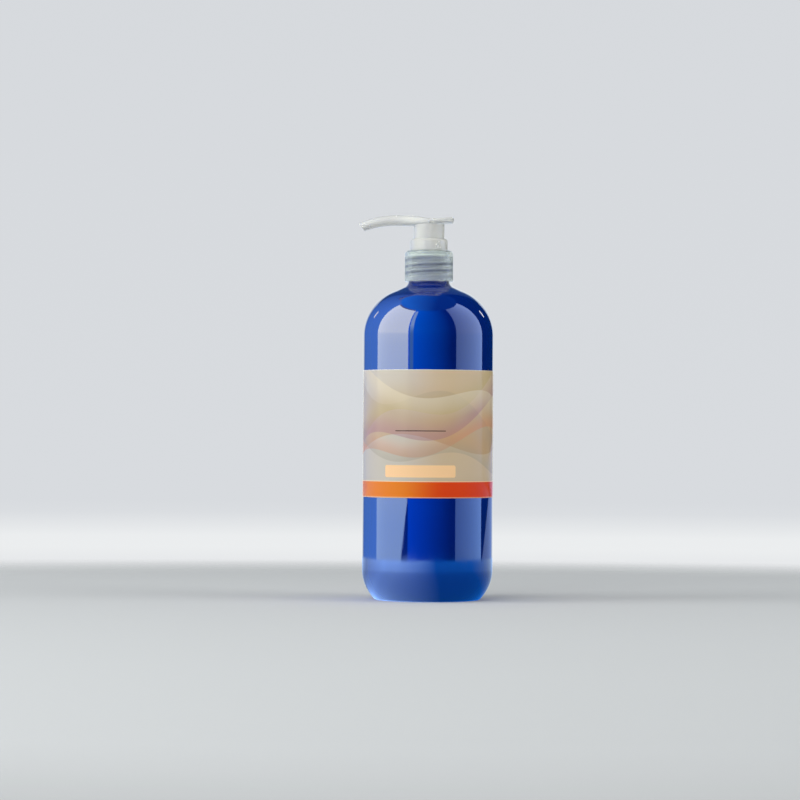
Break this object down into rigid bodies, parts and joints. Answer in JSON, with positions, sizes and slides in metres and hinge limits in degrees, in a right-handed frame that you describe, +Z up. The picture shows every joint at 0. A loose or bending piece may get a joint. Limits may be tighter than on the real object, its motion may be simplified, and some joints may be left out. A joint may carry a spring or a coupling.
{
  "type": "pump oil bottle",
  "caption": "Round glossy blue bottle for massage oil with a screw-on lotion pump: a swivelling press-down head with a long spout, a spring, a piston and ball valves.",
  "frame": {"origin": "centre of the standing ring under the base, on the bottle's axis", "axes": "+Z up along the bottle's axis; -X along the spout; -Y out of the middle of the label"},
  "size_m": [0.0889, 0.0852, 0.2507],
  "materials": {
    "bottle": "gloss",
    "label": "satin",
    "closure": "satin",
    "locking_collar": "gloss",
    "gasket": "matt",
    "pump_cylinder": "satin",
    "stem_guide": "satin",
    "spring_seat": "satin",
    "inlet_ball": "polished",
    "spring": "drawn",
    "piston": "satin",
    "piston_retainer": "satin",
    "stem": "satin",
    "outlet_ball": "polished",
    "pump_head": "gloss",
    "dip_tube": "satin"
  },
  "bodies": {
    "bottle": {"bottle": "bottle", "label": "label"},
    "pump": {"pump_cylinder": "pump_cylinder", "locking_collar": "locking_collar", "gasket": "gasket", "stem_guide": "stem_guide", "spring_seat": "spring_seat", "dip_tube": "dip_tube"},
    "closure": {"closure": "closure"},
    "plunger": {"piston": "piston", "spring": "spring"},
    "head": {"pump_head": "pump_head", "stem": "stem", "piston_retainer": "piston_retainer"},
    "outlet_valve": {"outlet_ball": "outlet_ball"},
    "inlet_valve": {"inlet_ball": "inlet_ball"}
  },
  "joints": [
    {"name": "pump_lift", "type": "slide", "parent": "bottle", "child": "pump", "axis": [0, 0, 1], "range_m": [0, 0.01058]},
    {"name": "closure_turn", "type": "hinge", "parent": "pump", "child": "closure", "pos_m": [0, 0, 0.2174], "axis": [0, 0, 1], "range_deg": [0, 900]},
    {"name": "head_press", "type": "slide", "parent": "pump", "child": "plunger", "axis": [0, 0, 1], "range_m": [-0.0082, 0], "stiffness_N_per_m": 500, "springref_m": 0.004, "deforming": ["spring"]},
    {"name": "head_turn", "type": "hinge", "parent": "plunger", "child": "head", "pos_m": [0, 0, 0.24], "axis": [0, 0, 1], "continuous": true},
    {"name": "outlet_valve_lift", "type": "slide", "parent": "head", "child": "outlet_valve", "axis": [0, 0, 1], "range_m": [0, 0.001]},
    {"name": "inlet_valve_lift", "type": "slide", "parent": "pump", "child": "inlet_valve", "axis": [0, 0, 1], "range_m": [0, 0.0012]}
  ],
  "couplings": [
    {"joint": "closure_turn", "follows": "pump_lift", "rad_per_m": 1484.2}
  ]
}
